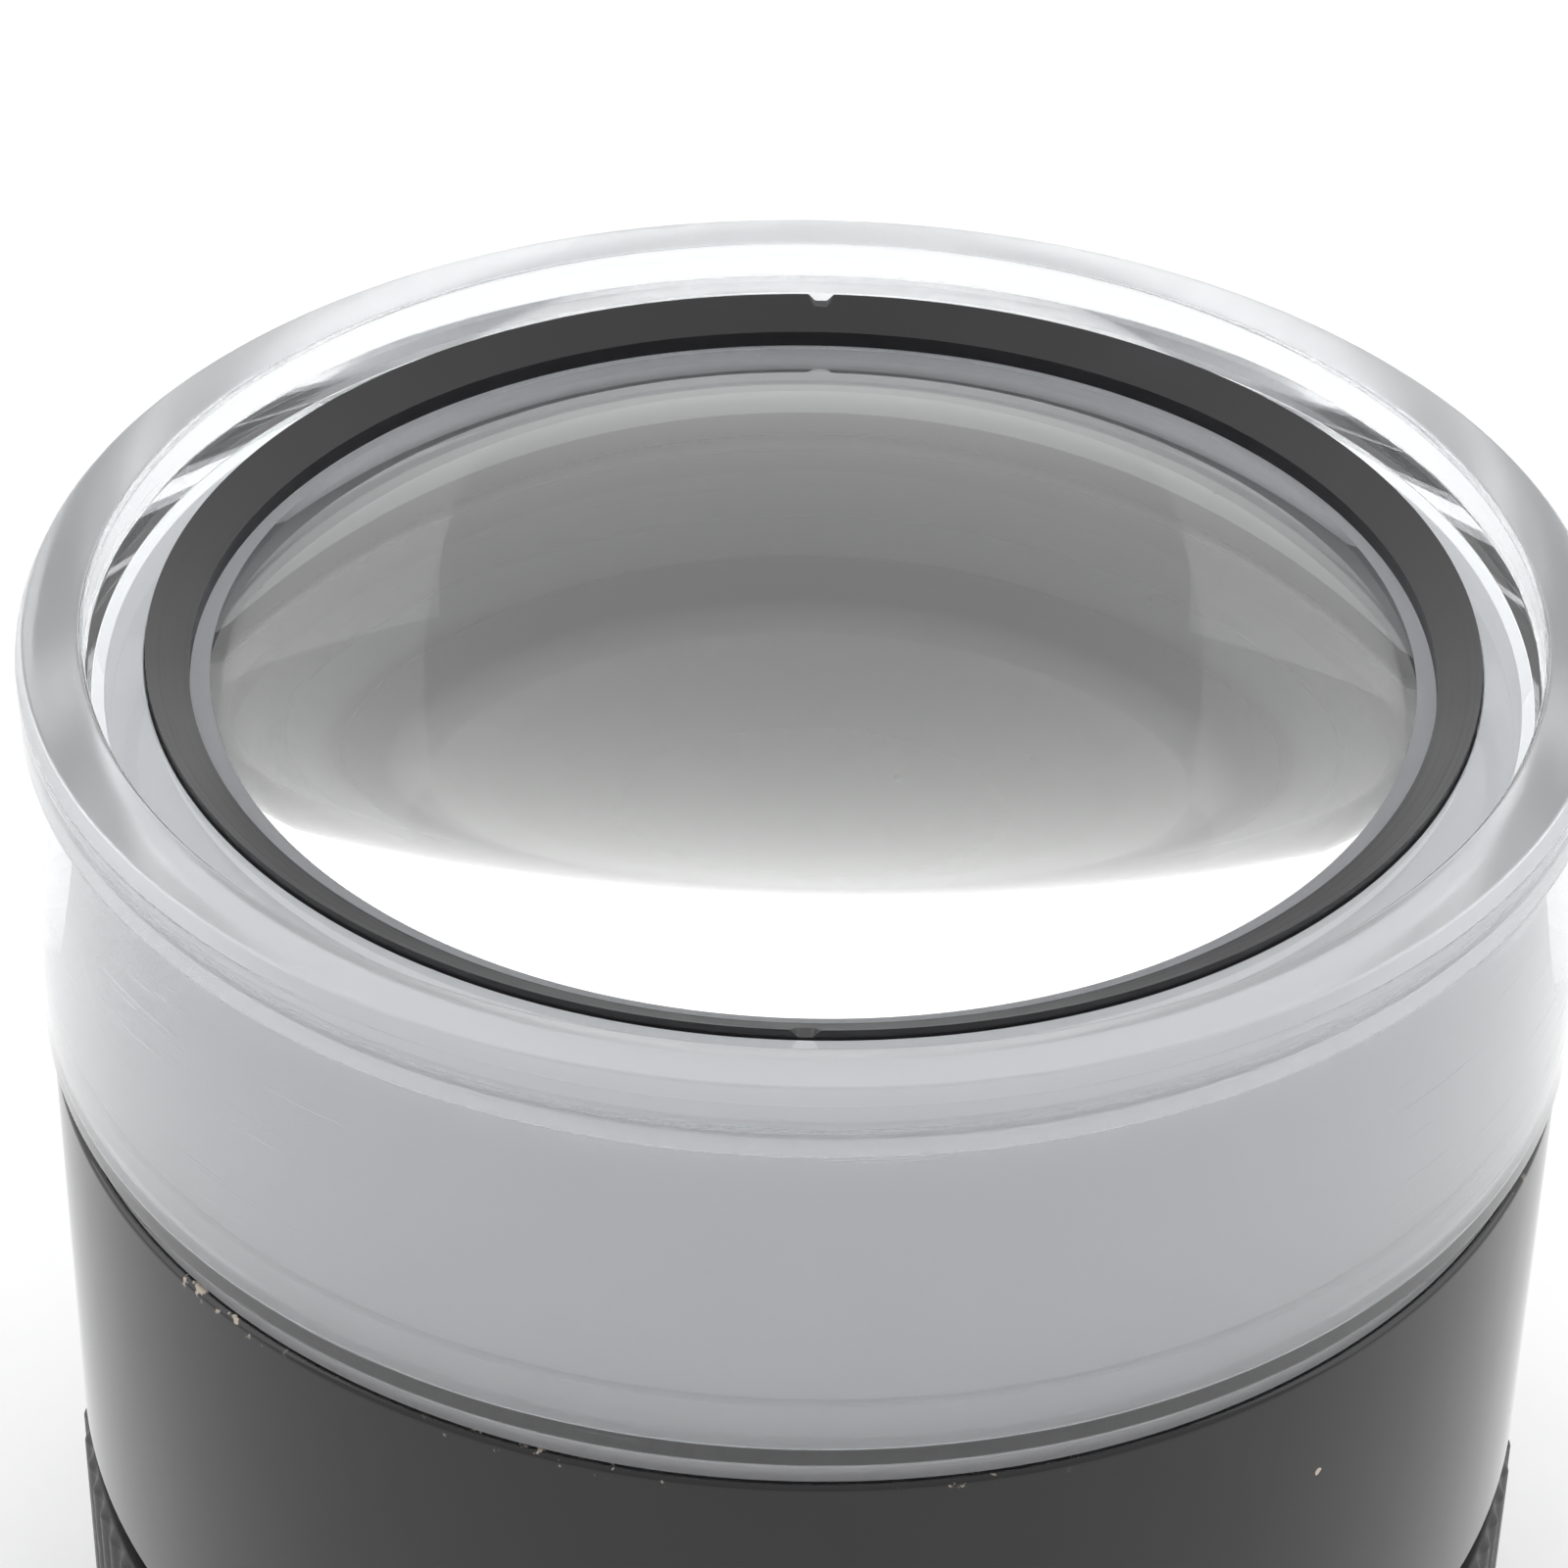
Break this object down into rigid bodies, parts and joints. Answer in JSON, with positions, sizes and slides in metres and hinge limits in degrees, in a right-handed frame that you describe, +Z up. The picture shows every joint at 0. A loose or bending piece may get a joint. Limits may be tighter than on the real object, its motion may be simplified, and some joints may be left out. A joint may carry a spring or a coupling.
{
  "type": "stand magnifier",
  "caption": "Round focusing stand magnifier with a clear acrylic collar around a thick domed lens, a gloss black barrel and a fluted focusing ring.",
  "frame": {"origin": "centre of the rubber foot's flat face, which stands on the table", "axes": "+Z up along the optical axis, from the foot to the domed lens; +Y and -Y point to the two spanner notches of the field lens ring"},
  "size_m": [0.068, 0.068, 0.0685],
  "materials": {
    "acrylic": "polished clear acrylic",
    "optical_glass": "polished optical glass",
    "frosted_acrylic": "sandblasted acrylic that lets light through",
    "black_anodised": "matte black anodised aluminium",
    "gloss_black": "gloss black lacquered aluminium",
    "knurled_black": "black anodised knurled aluminium",
    "brass": "turned brass",
    "steel": "blackened steel",
    "slip_plastic": "white acetal washer",
    "rubber": "moulded black rubber"
  },
  "bodies": {
    "stand": {"clear_collar": "acrylic", "collar_gasket": "slip_plastic", "lens_cell": "frosted_acrylic", "field_lens": "optical_glass", "field_retaining_ring": "black_anodised", "middle_lens": "optical_glass", "middle_retaining_ring": "black_anodised", "barrel": "gloss_black", "upper_slip_washer": "slip_plastic", "lower_slip_washer": "slip_plastic", "foot_ring": "black_anodised", "foot_ring_screws": "steel", "rubber_foot": "rubber"},
    "focusing_ring": {"cam_ring": "brass", "focus_grip": "knurled_black", "grip_grub_screws": "steel"},
    "focus_group": {"lens_carriage": "black_anodised", "cam_followers": "brass", "glare_stop": "black_anodised", "doublet_crown": "optical_glass", "doublet_flint": "optical_glass", "lower_spacer": "black_anodised", "lower_lens": "optical_glass", "lower_retaining_ring": "black_anodised"}
  },
  "joints": [
    {"name": "focus_turn", "type": "hinge", "parent": "stand", "child": "focusing_ring", "pos_m": [0, 0, 0.01545], "axis": [0, 0, 1], "range_deg": [-60, 60]},
    {"name": "group_slide", "type": "slide", "parent": "stand", "child": "focus_group", "axis": [0, 0, 1], "range_m": [-0.003, 0.003]}
  ],
  "couplings": [
    {"joint": "group_slide", "follows": "focus_turn", "m_per_rad": -0.0028648}
  ]
}
